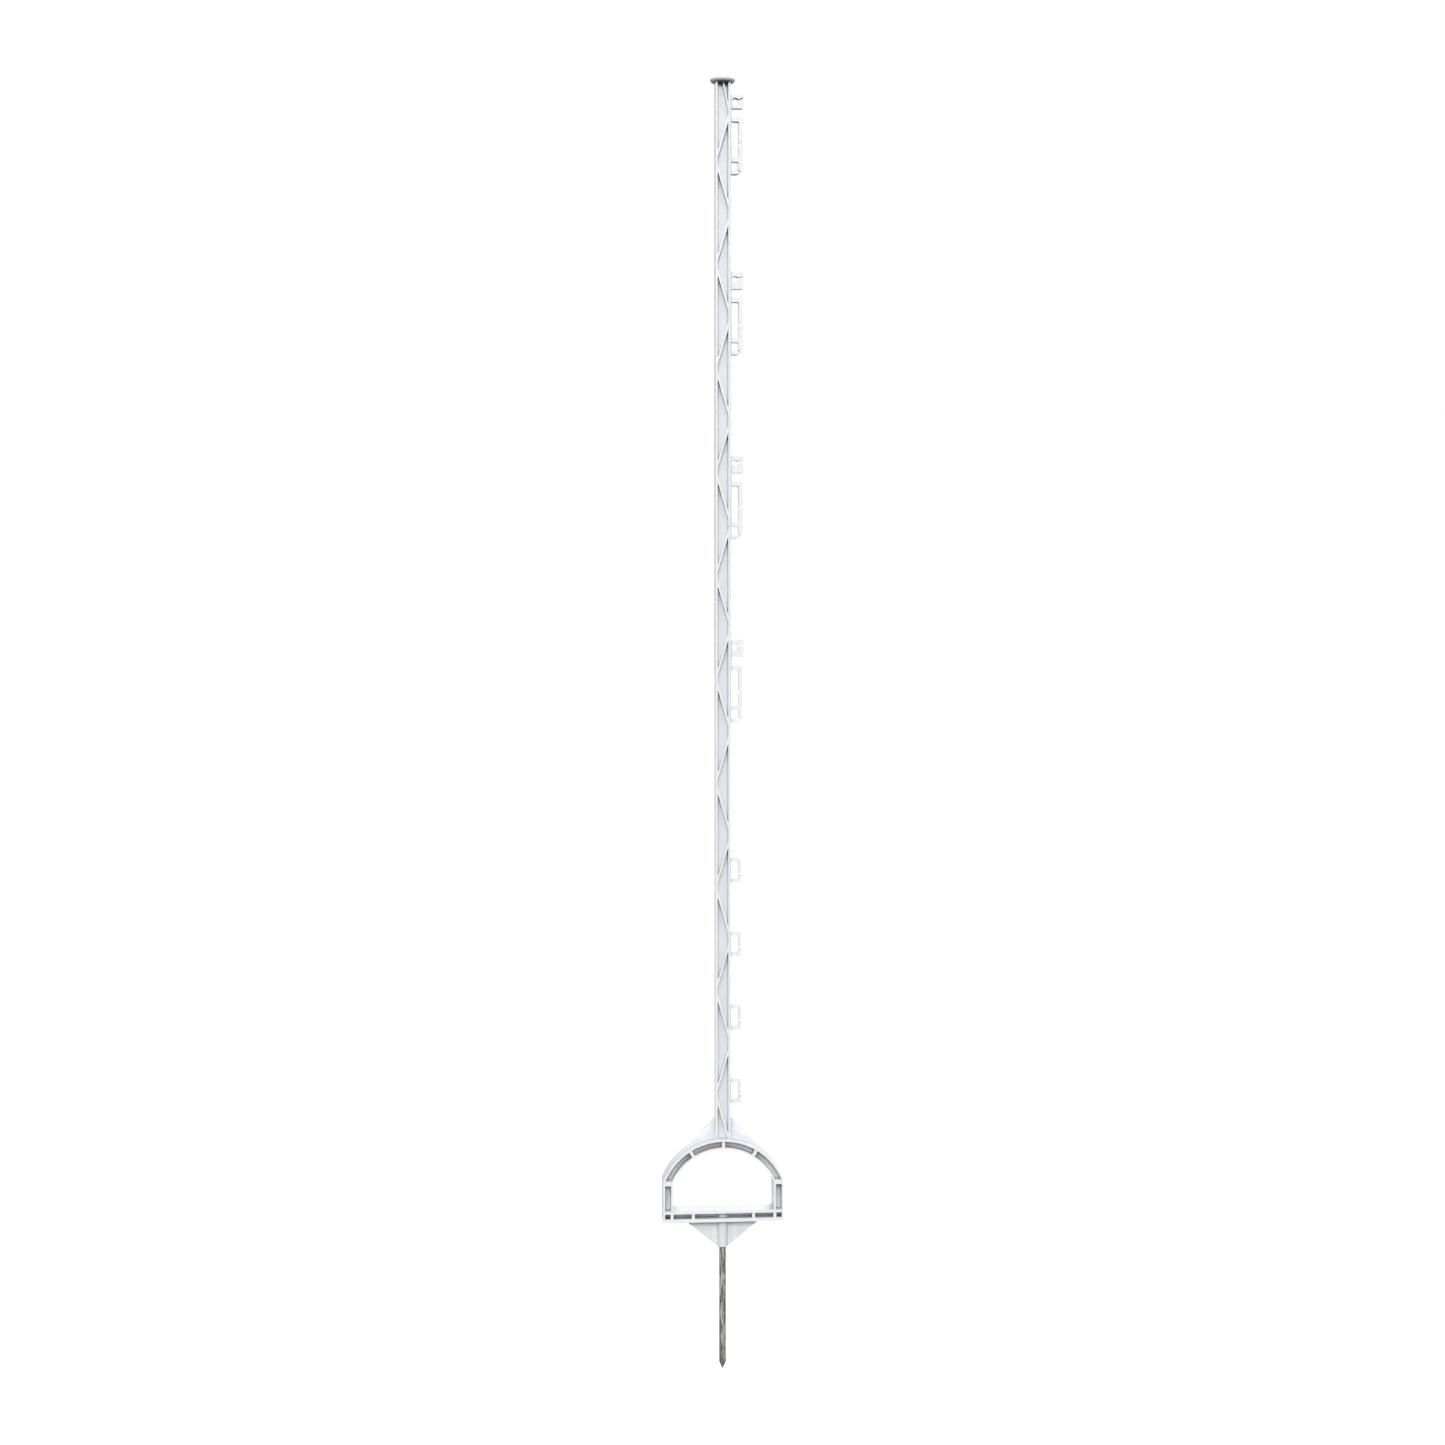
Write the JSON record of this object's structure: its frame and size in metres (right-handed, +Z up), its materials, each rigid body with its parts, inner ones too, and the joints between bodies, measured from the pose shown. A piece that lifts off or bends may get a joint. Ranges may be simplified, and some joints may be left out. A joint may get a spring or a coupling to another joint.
{
  "type": "step-in fence post",
  "caption": "Tall white step-in fence post: a ribbed H-section shaft with slit hooks for tape, rope and wire, a round cap, a foot stirrup and a steel ground spike.",
  "frame": {"origin": "on the spike's axis at the ground line, where the steel leaves the socket under the stirrup", "axes": "+Z up the shaft towards the cap, +X towards the hooks, front face towards -Y"},
  "size_m": [0.144, 0.03, 1.5418],
  "materials": {
    "white_plastic": "satin moulded plastic, UV-stabilised",
    "spike_steel": "dull drawn steel with a thin zinc skin"
  },
  "bodies": {
    "root": {"post_moulding": "white_plastic", "ground_spike": "spike_steel"}
  },
  "joints": []
}
